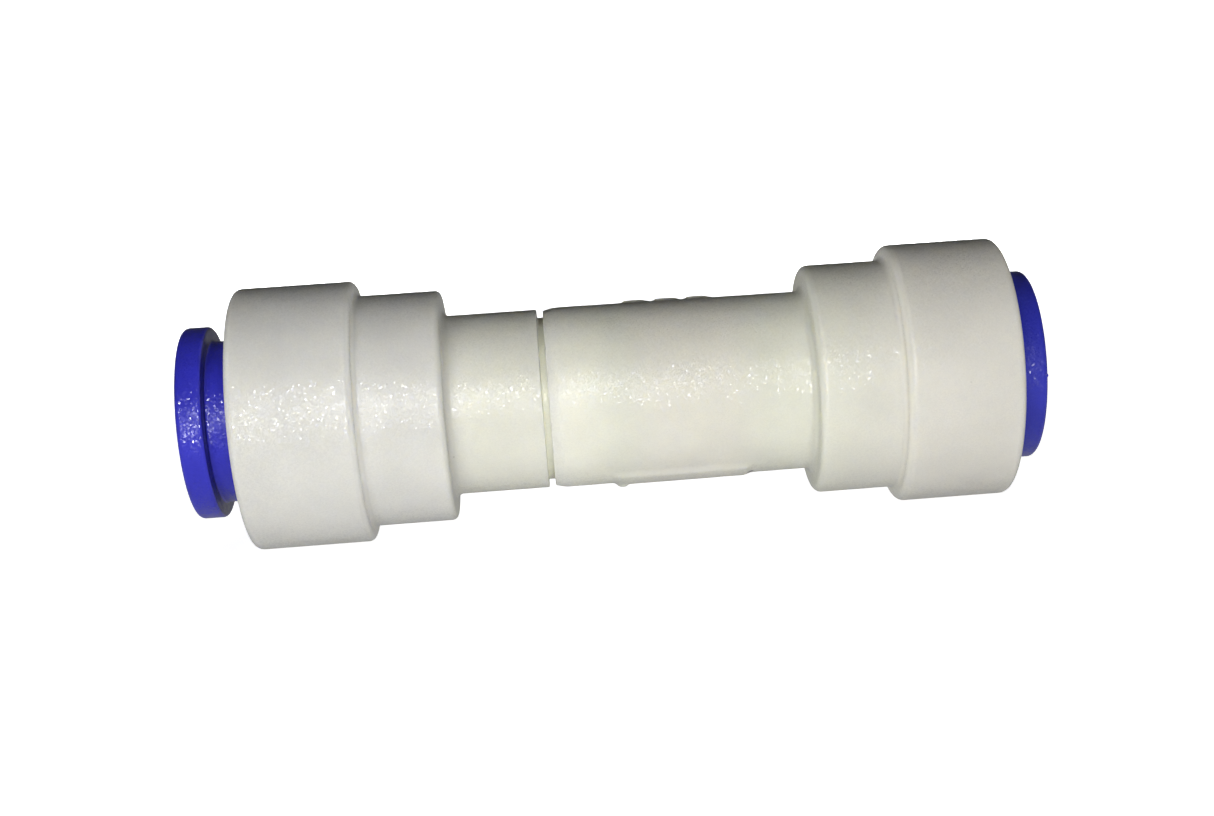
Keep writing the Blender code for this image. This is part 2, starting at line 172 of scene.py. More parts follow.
# Grip tooth.
TOOTH_OUTER_RADIUS = 6.4 * MM
TOOTH_TIP_RADIUS = 4.62 * MM
TOOTH_ROOT = 8.11 * MM
TOOTH_LEAN = 0.6 * MM
TOOTH_THICKNESS = 0.3 * MM
TOOTH_BEVEL = 0.12 * MM
TOOTH_HALF_ANGLE = radians(13)
TOOTH_GAP = 0.04 * MM

# O-rings: section radius, mean radius and place. A tube seal's place is its depth in the socket.
TUBE_SEAL_SECTION = 1.2 * MM
TUBE_SEAL_MEAN = 5.85 * MM
TUBE_SEAL_DEPTH = 11.02 * MM
CARTRIDGE_SEAL_SECTION = 0.55 * MM
CARTRIDGE_SEAL_MEAN = 5.11 * MM
CARTRIDGE_SEAL_X = 0.05 * MM
POPPET_SEAL_SECTION = 0.5 * MM
POPPET_SEAL_MEAN = 3.42 * MM
POPPET_SEAL_X = 1.42 * MM

# Valve cartridge's housing.
HOUSING_RADIUS = 5.62 * MM
SEAL_GROOVE_START = -0.6 * MM
SEAL_GROOVE_END = 0.7 * MM
SEAL_GROOVE_RADIUS = 4.5 * MM
SEAT_BORE_RADIUS = 3.3 * MM
SEAT_START = 0.55 * MM
CAGE_START = 2.05 * MM
CAGE_RADIUS = 4.8 * MM
CAGE_LIP_START = 7.15 * MM
CAGE_LIP_RADIUS = 4.45 * MM

# Poppet, closed on its seat. Its outline stops a hair short of the axis.
AXIS_GAP = 0.02 * MM
NOSE_FLAT_RADIUS = 0.9 * MM
NOSE_RADIUS = 3.05 * MM
NOSE_START = 0.55 * MM
NOSE_END = 0.86 * MM
POPPET_GROOVE_RADIUS = 2.88 * MM
DISC_START = 1.98 * MM
DISC_END = 2.75 * MM
DISC_RADIUS = 3.95 * MM
BOSS_END = 4.35 * MM
BOSS_RADIUS = 1.5 * MM
STEM_RADIUS = 1.0 * MM

# Spring guide: a hub on three legs inside a ring, with windows between the legs.
GUIDE_BORE_RADIUS = 1.12 * MM
GUIDE_RADIUS = 4.72 * MM
GUIDE_HUB_RADIUS = 2.5 * MM
GUIDE_RING_INNER = 4.0 * MM
GUIDE_ROUND = 0.12 * MM
GUIDE_WINDOWS = 3
GUIDE_WINDOW_HALF_ANGLE = radians(50)

# Valve spring. Its closing, a part of its length, draws turns together at both ends and halfway.
WIRE_RADIUS = 0.175 * MM
SPRING_RADIUS = 2.0 * MM
SPRING_TURNS = 4.5
SPRING_CLOSING = 0.045
SPRING_STEPS_PER_TURN = 40

# Facets round a turned piece, a seal's section and the spring's wire, and across a sector.
BODY_SIDES = 288
FINE_SIDES = 144
SMALL_SIDES = 96
SECTION_SIDES = 28
WIRE_SIDES = 14
TOOTH_STEPS = 12
WINDOW_STEPS = 40

# Steps in a rounded corner, the sharpest edge that is shaded smooth, and the gap that is welded.
ROUND_STEPS = 8
SHARP_ANGLE = radians(32)
WELD_DISTANCE = 0.0001 * MM


def rounded(corners):
    """Turn the corners of a closed outline into points, with arcs where they are rounded."""
    points = []
    for number, corner in enumerate(corners):
        place = Vector(corner[:2])
        if len(corner) == 2:
            points.append(place)
            continue
        rounding = corner[2]
        to_last = (Vector(corners[number - 1][:2]) - place).normalized()
        to_next = (Vector(corners[(number + 1) % len(corners)][:2]) - place).normalized()
        half_angle = to_last.angle(to_next) / 2
        centre = place + (to_last + to_next).normalized() * rounding / sin(half_angle)
        first = place + to_last * rounding / tan(half_angle) - centre
        last = place + to_next * rounding / tan(half_angle) - centre
        for step in range(ROUND_STEPS + 1):
            points.append(centre + first.lerp(last, step / ROUND_STEPS).normalized() * rounding)
    return points


def finished(name, shape):
    """Turn a bmesh into a mesh with outward faces and smooth shading between sharp edges."""
    bmesh.ops.remove_doubles(shape, verts=shape.verts, dist=WELD_DISTANCE)
    bmesh.ops.recalc_face_normals(shape, faces=shape.faces)
    mesh = bpy.data.meshes.new(name)
    shape.to_mesh(mesh)
    shape.free()
    mesh.shade_smooth()
    mesh.set_sharp_from_angle(angle=SHARP_ANGLE)
    return mesh


def revolved(name, corners, sides=FINE_SIDES, angles=None, height=None):
    """Revolve a closed outline round X, all the way or through the angles.

    A height function, height(x, angle), raises the points that lie outside the neck's radius.
    """
    points = rounded(corners)
    whole = angles is None
    if whole:
        angles = [number * tau / sides for number in range(sides)]
    shape = bmesh.new()
    slices = []
    for angle in angles:
        row = []
        for x, radius in points:
            if height and radius > NECK_RADIUS:
                radius += height(x, angle)
            row.append(shape.verts.new((x, radius * sin(angle), radius * cos(angle))))
        slices.append(row)
    followers = slices[1:] + slices[:1] if whole else slices[1:]
    for one, other in zip(slices, followers):
        for number in range(len(points)):
            shape.faces.new((one[number - 1], one[number], other[number], other[number - 1]))
    if not whole:
        shape.faces.new(slices[0])
        shape.faces.new(slices[-1])
    return finished(name, shape)


def cut(mesh, cutter):
    """Give the mesh with the cutter's shape taken out of it."""
    base = bpy.data.objects.new("base", mesh)
    tool = bpy.data.objects.new("tool", cutter)
    bpy.context.scene.collection.objects.link(base)
    bpy.context.scene.collection.objects.link(tool)
    boolean = base.modifiers.new("Boolean", "BOOLEAN")
    boolean.operation = "DIFFERENCE"
    boolean.solver = "EXACT"
    boolean.object = tool
    evaluated = base.evaluated_get(bpy.context.evaluated_depsgraph_get())
    result = bpy.data.meshes.new_from_object(evaluated)
    result.name = mesh.name
    bpy.data.objects.remove(base)
    bpy.data.objects.remove(tool)
    result.set_sharp_from_angle(angle=SHARP_ANGLE)
    return result


def joined(name, meshes):
    """Put separate meshes into one mesh."""
    shape = bmesh.new()
    for mesh in meshes:
        shape.from_mesh(mesh)
    return finished(name, shape)


def add_piece(name, mesh, material, body, replaced):
    """Add a visual piece that rides on a body and stands for a CAD node."""
    piece = bpy.data.objects.new(name, mesh)
    bpy.context.scene.collection.objects.link(piece)
    piece.data.materials.clear()
    piece.data.materials.append(material)
    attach(piece, body)
    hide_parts(replaced)
    return piece


# ---------------------------------------------------------------- materials


# Plastics: dark specks, how much the grains differ in shade, how much of their tilt the base
# layer shares, and the base layer's shine.
SPECKS_PER_METRE = 260
SPECK_CORE = 0.014
SPECK_EDGE = 0.03
SPECK_STRENGTH = 0.45
SPECK_SHADE = 0.4
GRAIN_SHADE = 0.03
UNDER_TILT = 0.35
SPECULAR = 0.25
REFRACTION = 1.48

# Sparkle: size and tilt of the grains, and weight and roughness of their shine.
INLET_SPARKLE = (0.10 * MM, 0.42, 0.41, 0.22)
OUTLET_SPARKLE = (0.10 * MM, 0.42, 0.36, 0.22)
BLUE_SPARKLE = (0.125 * MM, 0.5, 0.75, 0.24)
GREY_SPARKLE = (0.15 * MM, 0.4, 0.2, 0.25)

# Glow: how much light spreads inside, and how far.
WHITE_GLOW = (0.65, 1.4 * MM)
BLUE_GLOW = (0.12, 0.5 * MM)
GREY_GLOW = (0.15, 0.6 * MM)
GLOW_COLOUR = (1.0, 0.95, 0.75)

# Whites along the body, and painted light: lighter whites in the corners of its steps, which lift
# the shade that falls there.
NEUTRAL_WHITE = (0.775, 0.768, 0.722)
NECK_IVORY = (0.82, 0.815, 0.72)
GREEN_IVORY = (0.95, 0.95, 0.78)
BRIGHT_IVORY = (0.935, 0.92, 0.785)
IVORY_WHITE = (0.80, 0.80, 0.695)
PINK_IVORY = (0.81, 0.79, 0.70)
WARM_WHITE = (0.765, 0.745, 0.68)
# Painted light in the step corners, which lifts their shade.
INLET_STEP_PAINTED_LIGHT = (0.89, 0.88, 0.825)
BARREL_STEP_PAINTED_LIGHT = (0.845, 0.845, 0.745)
RING_STEP_PAINTED_LIGHT = (0.88, 0.86, 0.78)
PAINTED_STEP_LIGHT_REACH = 0.3 * MM

# How far a tint keeps its strength, as a part of its reach, and how strong it is at a point.
STATION_CORE = 0.4
POINT_CORE = 0.5
POINT_STRENGTH = 0.85

# A small dark brown spot at the pad's end.
SPOT_BROWN = (0.06, 0.05, 0.045)
SPOT_PLACE = (9.9 * MM, -2.5 * MM, -6.47 * MM)
SPOT_REACH = 0.35 * MM

# The other colours. Painted shade: the corner behind the inlet collet's flange is darkened to a
# deep blue.
INLET_BLUE = (0.038, 0.039, 0.56)
OUTLET_BLUE = (0.036, 0.042, 0.48)
PAINTED_SHADE_BLUE = (0.01, 0.01, 0.15)
PAINTED_SHADE_REACH = 0.09 * MM
VALVE_GREY = (0.62, 0.63, 0.64)
RUBBER_BLACK = (0.012, 0.012, 0.013)
RUBBER_BLOOM = (0.03, 0.03, 0.032)
DARK_STEEL = (0.50, 0.51, 0.52)
LIGHT_STEEL = (0.68, 0.69, 0.70)


class Nodes:
    """A material's node tree, with short calls to add and join its nodes."""

    def __init__(self, name):
        self.material = bpy.data.materials.new(name)
        self.material.use_nodes = True
        self.tree = self.material.node_tree
        self.shader = self.tree.nodes["Principled BSDF"]
        self.place = self.add("ShaderNodeTexCoord").outputs["Object"]

    def add(self, kind, **settings):
        """Add a node; a setting that names an input sets its value, and any other its property."""
        node = self.tree.nodes.new(kind)
        for key, value in settings.items():
            if key in node.inputs:
                node.inputs[key].default_value = value
            else:
                setattr(node, key, value)
        return node

    def join(self, source, target):
        """Link an output to an input."""
        self.tree.links.new(source, target)

    def feed(self, **sources):
        """Link outputs to the shader's inputs, whose names have _ for a space here."""
        for key, source in sources.items():
            self.join(source, self.shader.inputs[key.replace("_", " ")])

    def hold(self, **values):
        """Set the shader's inputs to constants, with names as in feed."""
        for key, value in values.items():
            self.shader.inputs[key.replace("_", " ")].default_value = value

    def noise(self, scale, detail=2.0, stretch=None):
        """Noise over the piece, with about scale features in a metre."""
        source = self.place
        if stretch:
            mapping = self.add("ShaderNodeMapping")
            mapping.inputs["Scale"].default_value = stretch
            self.join(source, mapping.inputs["Vector"])
            source = mapping.outputs["Vector"]
        node = self.add("ShaderNodeTexNoise", Scale=scale, Detail=detail)
        self.join(source, node.inputs["Vector"])
        return node.outputs["Fac"]

    def ranged(self, source, from_low, from_high, low, high):
        """Map a value from one range to another, held inside it."""
        node = self.add("ShaderNodeMapRange")
        for key, value in (("From Min", from_low), ("From Max", from_high),
                           ("To Min", low), ("To Max", high)):
            node.inputs[key].default_value = value
        self.join(source, node.inputs["Value"])
        return node.outputs["Result"]

    def mixed(self, factor, first, second):
        """Mix two colours, each a colour or another node's output."""
        node = self.add("ShaderNodeMix", data_type="RGBA")
        self.join(factor, node.inputs["Factor"])
        for source, socket in ((first, node.inputs[6]), (second, node.inputs[7])):
            if isinstance(source, tuple):
                socket.default_value = (*source, 1.0)
            else:
                self.join(source, socket)
        return node.outputs[2]

    def bump(self, source, distance, strength=1.0, under=None):
        """A bump of the given depth in metres, over another bump where there is one."""
        node = self.add("ShaderNodeBump", Distance=distance, Strength=strength)
        self.join(source, node.inputs["Height"])
        if under:
            self.join(under, node.inputs["Normal"])
        return node.outputs["Normal"]


def tilted(nodes, normal, offset, amount):
    """A normal pushed sideways by an amount of an offset."""
    scaled = nodes.add("ShaderNodeVectorMath", operation="SCALE", Scale=amount)
    nodes.join(offset, scaled.inputs[0])
    added = nodes.add("ShaderNodeVectorMath", operation="ADD")
    nodes.join(scaled.outputs["Vector"], added.inputs[0])
    nodes.join(normal, added.inputs[1])
    unit = nodes.add("ShaderNodeVectorMath", operation="NORMALIZE")
    nodes.join(added.outputs["Vector"], unit.inputs[0])
    return unit.outputs["Vector"]


def grained(nodes, size):
    """Grains of a size: an offset that differs from grain to grain, and a number from 0 to 1."""
    grains = nodes.add("ShaderNodeTexVoronoi", Scale=1 / size)
    nodes.join(nodes.place, grains.inputs["Vector"])
    centred = nodes.add("ShaderNodeVectorMath", operation="SUBTRACT")
    nodes.join(grains.outputs["Color"], centred.inputs[0])
    centred.inputs[1].default_value = (0.5, 0.5, 0.5)
    parts = nodes.add("ShaderNodeSeparateXYZ")
    nodes.join(grains.outputs["Color"], parts.inputs["Vector"])
    return centred.outputs["Vector"], parts.outputs["X"]


def tones_along(nodes, stops):
    """A colour that changes along X from stop to stop; a stop is a place and a colour."""
    axes = nodes.add("ShaderNodeSeparateXYZ")
    nodes.join(nodes.place, axes.inputs["Vector"])
    tone = stops[0][1]
    for (start, _), (finish, colour) in zip(stops, stops[1:]):
        tone = nodes.mixed(nodes.ranged(axes.outputs["X"], start, finish, 0, 1), tone, colour)
    return tone


def near_station(nodes, station, reach):
    """1 at a station along X, falling to 0 at a reach from it."""
    axes = nodes.add("ShaderNodeSeparateXYZ")
    nodes.join(nodes.place, axes.inputs["Vector"])
    offset = nodes.add("ShaderNodeMath", operation="SUBTRACT")
    nodes.join(axes.outputs["X"], offset.inputs[0])
    offset.inputs[1].default_value = station
    distance = nodes.add("ShaderNodeMath", operation="ABSOLUTE")
    nodes.join(offset.outputs["Value"], distance.inputs[0])
    return nodes.ranged(distance.outputs["Value"], reach * STATION_CORE, reach, 1, 0)


def near_point(nodes, point, reach):
    """Nearly 1 at a point, falling to 0 at a reach from it."""
    distance = nodes.add("ShaderNodeVectorMath", operation="DISTANCE")
    nodes.join(nodes.place, distance.inputs[0])
    distance.inputs[1].default_value = point
    return nodes.ranged(distance.outputs["Value"], reach * POINT_CORE, reach, POINT_STRENGTH, 0)


def plastic_colour(nodes, stops, shade, chance, tints):
    """Colour that drifts along the part, with mottle, grains, specks and tints; some tints are
    painted light or shade.
    """
    grain = nodes.add("ShaderNodeMath", operation="MULTIPLY")
    nodes.join(nodes.ranged(chance, 0, 1, 1 - GRAIN_SHADE, 1 + GRAIN_SHADE), grain.inputs[0])
    nodes.join(nodes.ranged(nodes.noise(260, 4), 0.35, 0.65, 1, shade), grain.inputs[1])
    toned = nodes.add("ShaderNodeVectorMath", operation="SCALE")
    nodes.join(tones_along(nodes, stops), toned.inputs[0])
    nodes.join(grain.outputs["Value"], toned.inputs["Scale"])
    dots = nodes.add("ShaderNodeTexVoronoi", Scale=SPECKS_PER_METRE)
    nodes.join(nodes.place, dots.inputs["Vector"])
    speck = nodes.ranged(dots.outputs["Distance"], SPECK_CORE, SPECK_EDGE, SPECK_STRENGTH, 0)
    dark = tuple(part * SPECK_SHADE for part in stops[0][1])
    colour = nodes.mixed(speck, toned.outputs["Vector"], dark)
    for tint, where, reach in tints:
        near = near_point if isinstance(where, tuple) else near_station
        colour = nodes.mixed(near(nodes, where, reach), colour, tint)
    return colour


def moulded_plastic(name, stops, shade, roughness, sparkle, glow, tints=()):
    """Moulded plastic, whose grains each tilt its shine a little.

    stops is the colour along X; shade is how dark the mottle gets; sparkle and glow are as
    above; each tint is a colour, where it lies (a station or a point) and its reach. Some tints
    are painted light or shade.
    """
    nodes = Nodes(name)
    size, tilt, coat, shine = sparkle
    glow_weight, glow_reach = glow
    offset, chance = grained(nodes, size)
    waves = nodes.bump(nodes.noise(150, 2), 0.03 * MM, 0.5)
    fine = nodes.bump(nodes.noise(0.8 / size, 3), 0.006 * MM, 0.8, waves)
    worn = nodes.ranged(nodes.noise(900, 3), 0.3, 0.7, roughness - 0.05, roughness + 0.05)
    nodes.feed(Base_Color=plastic_colour(nodes, stops, shade, chance, tints), Roughness=worn,
               Normal=tilted(nodes, fine, offset, tilt * UNDER_TILT),
               Coat_Normal=tilted(nodes, waves, offset, tilt))
    nodes.hold(Coat_Weight=coat, Coat_Roughness=shine, Specular_IOR_Level=SPECULAR, IOR=REFRACTION,
               Subsurface_Weight=glow_weight, Subsurface_Radius=GLOW_COLOUR,
               Subsurface_Scale=glow_reach)
    return nodes.material


def black_rubber():
    """Moulded seal rubber with a faint bloom."""
    nodes = Nodes("seal_rubber")
    bloom = nodes.ranged(nodes.noise(500, 4), 0.4, 0.7, 0, 1)
    nodes.feed(Base_Color=nodes.mixed(bloom, RUBBER_BLACK, RUBBER_BLOOM),
               Roughness=nodes.ranged(nodes.noise(1500, 2), 0.3, 0.7, 0.38, 0.55),
               Normal=nodes.bump(nodes.noise(5000, 2), 0.006 * MM))
    return nodes.material


def steel(name, stretch):
    """Stainless steel with drawn or rolled lines along one direction."""
    nodes = Nodes(name)
    lines = nodes.noise(2500, 3, stretch)
    tone = nodes.ranged(lines, 0.3, 0.7, 0, 1)
    nodes.feed(Base_Color=nodes.mixed(tone, DARK_STEEL, LIGHT_STEEL),
               Roughness=nodes.ranged(lines, 0.3, 0.7, 0.22, 0.36),
               Normal=nodes.bump(lines, 0.004 * MM))
    nodes.hold(Metallic=1.0)
    return nodes.material


# The inlet's tint at its ring's step is painted light that lifts the shade in that corner.
INLET_WHITE = moulded_plastic(
    "inlet_white_plastic",
    [(INLET_MIDDLE_END - 1 * MM, NEUTRAL_WHITE), (INLET_MIDDLE_END + 2 * MM, NECK_IVORY),
     (NECK_END, NECK_IVORY), (NECK_END + 0.04 * MM, GREEN_IVORY)],
    shade=0.95, roughness=0.40, sparkle=INLET_SPARKLE, glow=WHITE_GLOW,
    tints=[(INLET_STEP_PAINTED_LIGHT, INLET_RING_END, PAINTED_STEP_LIGHT_REACH)])
# The outlet's tints at its barrel's and ring's steps are painted light that lifts the shade in
# those corners.
OUTLET_WHITE = moulded_plastic(
    "outlet_white_plastic",
    [(BARREL_START + 1 * MM, BRIGHT_IVORY), (0, IVORY_WHITE), (3 * MM, PINK_IVORY),
     (8 * MM, PINK_IVORY), (11 * MM, IVORY_WHITE), (BARREL_END - 1 * MM, IVORY_WHITE),
     (OUTLET_RING_START + 2 * MM, WARM_WHITE)],
    shade=0.95, roughness=0.40, sparkle=OUTLET_SPARKLE, glow=WHITE_GLOW,
    tints=[(BARREL_STEP_PAINTED_LIGHT, BARREL_END, PAINTED_STEP_LIGHT_REACH),
           (RING_STEP_PAINTED_LIGHT, OUTLET_RING_START, PAINTED_STEP_LIGHT_REACH),
           (SPOT_BROWN, SPOT_PLACE, SPOT_REACH)])
# Its tint is painted shade, a deep blue in the corner behind the inlet collet's flange.
BLUE = moulded_plastic(
    "blue_plastic", [(-10 * MM, INLET_BLUE), (10 * MM, OUTLET_BLUE)],
    shade=0.86, roughness=0.36, sparkle=BLUE_SPARKLE, glow=BLUE_GLOW,
    tints=[(PAINTED_SHADE_BLUE, INLET_COLLET_FACE + FLANGE_THICKNESS, PAINTED_SHADE_REACH)])
GREY = moulded_plastic(
    "valve_plastic", [(0, VALVE_GREY), (10 * MM, VALVE_GREY)],
    shade=0.92, roughness=0.40, sparkle=GREY_SPARKLE, glow=GREY_GLOW)
RUBBER = black_rubber()
STRIP = steel("tooth_steel", (1.0, 1.0, 0.12))
WIRE = steel("spring_steel", (0.1, 1.0, 1.0))


# ---------------------------------------------------------------- body halves


def socket_outline(face, inwards):
    """Give a tube socket's corners from its mouth to the flow bore; inwards is 1 or -1."""
    depths = [
        (0, MOUTH_RADIUS, MOUTH_ROUND),
        (CONE_START, MOUTH_RADIUS, 0.2 * MM),
        (CONE_END, CHAMBER_RADIUS, 0.2 * MM),
        (CHAMBER_END, CHAMBER_RADIUS),
        (O_RING_SEAT_START, O_RING_SEAT_RADIUS),
        (O_RING_SEAT_END, O_RING_SEAT_RADIUS, 0.15 * MM),
        (O_RING_SEAT_END, TUBE_SEAT_RADIUS, 0.2 * MM),
        (SOCKET_DEPTH, TUBE_SEAT_RADIUS, 0.1 * MM),
        (SOCKET_DEPTH, FLOW_RADIUS, 0.25 * MM),
    ]
    return [(face + inwards * corner[0], *corner[1:]) for corner in depths]


def make_inlet_body():
    """The inlet half, with the spigot that enters the barrel."""
    corners = [
        (INLET_FACE, RING_RADIUS, FACE_ROUND),
        (INLET_RING_END, RING_RADIUS, INLET_RING_ROUND),
        (INLET_RING_END, MIDDLE_RADIUS, RING_FILLET),
        (INLET_MIDDLE_END, MIDDLE_RADIUS, INLET_MIDDLE_ROUND),
        (INLET_MIDDLE_END, NECK_RADIUS, MIDDLE_FILLET),
        (NECK_END, NECK_RADIUS, 0.1 * MM),
        (NECK_END, COLLAR_RADIUS, 0.05 * MM),
        (COLLAR_END, COLLAR_RADIUS),
        (COLLAR_END, SPIGOT_RADIUS),
        (SPIGOT_END, SPIGOT_RADIUS, 0.3 * MM),
        (SPIGOT_END, FLOW_RADIUS, 0.3 * MM),
    ]
    corners += reversed(socket_outline(INLET_FACE, 1))
    mesh = revolved("inlet_body_moulding", corners, BODY_SIDES)
    add_piece("inlet_body_moulding", mesh, INLET_WHITE, "housing", "inlet_body")


def soft_step(inside, edge=MARK_EDGE):
    """1 well inside a mark's edge, 0 outside it, and an S-curve across the edge."""
    part = min(max(inside / edge + 0.5, 0), 1)
    return part * part * (3 - 2 * part)


def mark_height(x, angle):
    """How far the marks stand out of the barrel at a place."""
    if not PAD_START - PAD_END_EDGE <= x <= MARKS_END:
        return 0
    turn = (angle - MARK_TURN + pi) % tau - pi
    across = abs(turn) * BARREL_START_RADIUS
    bars = 0
    for number in range(CHEVRONS):
        back = CHEVRON_START + number * CHEVRON_PITCH
        slope = CHEVRON_REACH / CHEVRON_HALF_WIDTH
        along = x - back - CHEVRON_REACH + across * slope
        slant = sqrt(1 + slope * slope)
        inside = min(along / slant, (CHEVRON_BAR - along) / slant, CHEVRON_HALF_WIDTH - across)
        bars = max(bars, soft_step(inside))
    pad_across = (PAD_HALF_ANGLE - abs(abs(turn) - pi)) * BARREL_START_RADIUS
    pad_along = min(x - PAD_START, PAD_START + PAD_LENGTH - x)
    pad = soft_step(pad_along, PAD_END_EDGE) * soft_step(pad_across, PAD_EDGE)
    nub = soft_step(NUB_RADIUS - hypot(x, (angle - NUB_ANGLE) * BARREL_START_RADIUS), NUB_RADIUS)
    return MARK_HEIGHT * (max(bars, pad) + nub)


def make_outlet_body():
    """The outlet half, whose barrel carries the raised marks and the valve's bore."""
    steps = int((PAD_LENGTH + 2 * MARK_MARGIN) / MARK_STEP)
    taper = (BARREL_END_RADIUS - BARREL_START_RADIUS) / (BARREL_END - BARREL_START)
    corners = [
        (BARREL_START, BARREL_START_RADIUS - BARREL_LEAD_DROP, 0.12 * MM),
        (BARREL_START + BARREL_LEAD_LENGTH, BARREL_START_RADIUS, 2.0 * MM),
    ]
    for step in range(steps + 1):
        x = PAD_START - MARK_MARGIN + step * MARK_STEP
        corners.append((x, BARREL_START_RADIUS + taper * (x - BARREL_START)))
    corners += [
        (BARREL_END, BARREL_END_RADIUS, MIDDLE_FILLET),
        (BARREL_END, MIDDLE_RADIUS, OUTLET_MIDDLE_ROUND),
        (OUTLET_RING_START, MIDDLE_RADIUS, RING_FILLET),
        (OUTLET_RING_START, RING_RADIUS, OUTLET_RING_ROUND),
        (OUTLET_FACE, RING_RADIUS, FACE_ROUND),
    ]
    corners += socket_outline(OUTLET_FACE, -1)
    corners += [
        (WEB_START, FLOW_RADIUS, 0.2 * MM),
        (WEB_START, CARTRIDGE_BORE_RADIUS),
        (COUNTERBORE_END, CARTRIDGE_BORE_RADIUS),
        (COUNTERBORE_END, COUNTERBORE_RADIUS),
        (BARREL_START, COUNTERBORE_RADIUS),
    ]
    mesh = revolved("outlet_body_moulding", corners, BODY_SIDES, height=mark_height)
    add_piece("outlet_body_moulding", mesh, OUTLET_WHITE, "housing", "outlet_body")


# ---------------------------------------------------------------- collets and teeth


def sector_angles(middle, half, steps):
    """Angles across a sector."""
    return [middle - half + 2 * half * step / steps for step in range(steps + 1)]


def slot_cutter(number):
    """The bar that cuts the slot between two fingers."""
    start, finish = SLOT_START, COLLET_LENGTH + 1 * MM
    low, high = COLLET_BORE_RADIUS / 2, HEAD_RADIUS + 1 * MM
    shape = bmesh.new()
    bmesh.ops.create_cube(shape, size=1.0)
    bmesh.ops.scale(shape, verts=shape.verts, vec=(finish - start, SLOT_WIDTH, high - low))
    bmesh.ops.translate(shape, verts=shape.verts, vec=((start + finish) / 2, 0, (low + high) / 2))
    turn = Matrix.Rotation(-number * tau / FINGERS, 3, "X")
    bmesh.ops.rotate(shape, verts=shape.verts, cent=(0, 0, 0), matrix=turn)
    return finished("slot", shape)


def tooth_mesh(name, finger, gap=0.0):
    """A leaning plate in one finger; with a gap, it is the pocket that the plate sits in."""
    outer_radius, tip_radius = TOOTH_OUTER_RADIUS + gap, TOOTH_TIP_RADIUS - gap
    root, thickness = TOOTH_ROOT - gap, TOOTH_THICKNESS + 2 * gap
    outline = [
        (root, outer_radius),
        (root + TOOTH_LEAN, tip_radius),
        (root + TOOTH_LEAN + thickness, tip_radius + (0 if gap else TOOTH_BEVEL)),
        (root + thickness, outer_radius),
    ]
    half = TOOTH_HALF_ANGLE + gap / TOOTH_TIP_RADIUS
    middle = (finger + 0.5) * tau / FINGERS
    return revolved(name, outline, angles=sector_angles(middle, half, TOOTH_STEPS))


def collet_mesh():
    """Flange, sleeve and six fingers with coned heads and tooth pockets."""
    corners = [
        (0, COLLET_BORE_RADIUS + COLLET_LEAD_IN, 0.3 * MM),
        (0, FLANGE_RADIUS, FLANGE_FACE_ROUND),
        (FLANGE_THICKNESS, FLANGE_RADIUS, FLANGE_BACK_ROUND),
        (FLANGE_THICKNESS, SLEEVE_RADIUS, 0.22 * MM),
        (HEAD_CONE_START, SLEEVE_RADIUS),
        (HEAD_CONE_END, HEAD_RADIUS, 0.2 * MM),
        (COLLET_LENGTH, HEAD_RADIUS, 0.35 * MM),
        (COLLET_LENGTH, COLLET_BORE_RADIUS, 0.15 * MM),
        (2 * COLLET_LEAD_IN, COLLET_BORE_RADIUS, 0.4 * MM),
    ]
    slots = joined("slots", [slot_cutter(number) for number in range(FINGERS)])
    pockets = joined("pockets", [tooth_mesh("pocket", n, TOOTH_GAP) for n in range(FINGERS)])
    slotted = cut(revolved("collet", corners), slots)
    return joined("collet", [cut(slotted, pockets), gate_nib()])


def gate_nib():
    """The stub that the moulding gate leaves on the flange's rim."""
    shape = bmesh.new()
    bmesh.ops.create_uvsphere(shape, u_segments=16, v_segments=8, radius=NIB_RADIUS)
    place = (NIB_INSET, FLANGE_RADIUS - NIB_INSET, 0)
    bmesh.ops.translate(shape, verts=shape.verts, vec=place)
    return finished("nib", shape)


def make_collets():
    """Both collets with their teeth; the outlet's are turned end for end."""
    local_collet = collet_mesh()
    local_teeth = [tooth_mesh("tooth", finger) for finger in range(FINGERS)]
    ends = [
        ("inlet", Matrix.Translation((INLET_COLLET_FACE, 0, 0))),
        ("outlet", Matrix.Translation((OUTLET_COLLET_FACE, 0, 0)) @ Matrix.Rotation(pi, 4, "Z")),
    ]
    for end, placing in ends:
        body = f"{end}_collet_group"
        mesh = local_collet.copy()
        mesh.transform(placing)
        add_piece(f"{end}_collet_moulding", mesh, BLUE, body, f"{end}_collet")
        for number, local_tooth in enumerate(local_teeth, start=1):
            tooth = local_tooth.copy()
            tooth.transform(placing)
            add_piece(f"{end}_tooth_plate_{number}", tooth, STRIP, body,
                      f"{end}_grip_tooth_{number}")


# ---------------------------------------------------------------- seals and valve


def make_seal(node, x, mean_radius, section, body):
    """An O-ring of round section."""
    corners = []
    for side in range(SECTION_SIDES):
        angle = side * tau / SECTION_SIDES
        corners.append((x + section * cos(angle), mean_radius + section * sin(angle)))
    mesh = revolved(node + "_moulding", corners)
    add_piece(node + "_moulding", mesh, RUBBER, body, node)


def make_seals():
    """The four O-rings."""
    make_seal("inlet_tube_o_ring", INLET_FACE + TUBE_SEAL_DEPTH, TUBE_SEAL_MEAN,
              TUBE_SEAL_SECTION, "housing")
    make_seal("outlet_tube_o_ring", OUTLET_FACE - TUBE_SEAL_DEPTH, TUBE_SEAL_MEAN,
              TUBE_SEAL_SECTION, "housing")
    make_seal("valve_housing_o_ring", CARTRIDGE_SEAL_X, CARTRIDGE_SEAL_MEAN,
              CARTRIDGE_SEAL_SECTION, "housing")
    make_seal("poppet_seal", POPPET_SEAL_X, POPPET_SEAL_MEAN, POPPET_SEAL_SECTION, "poppet_group")


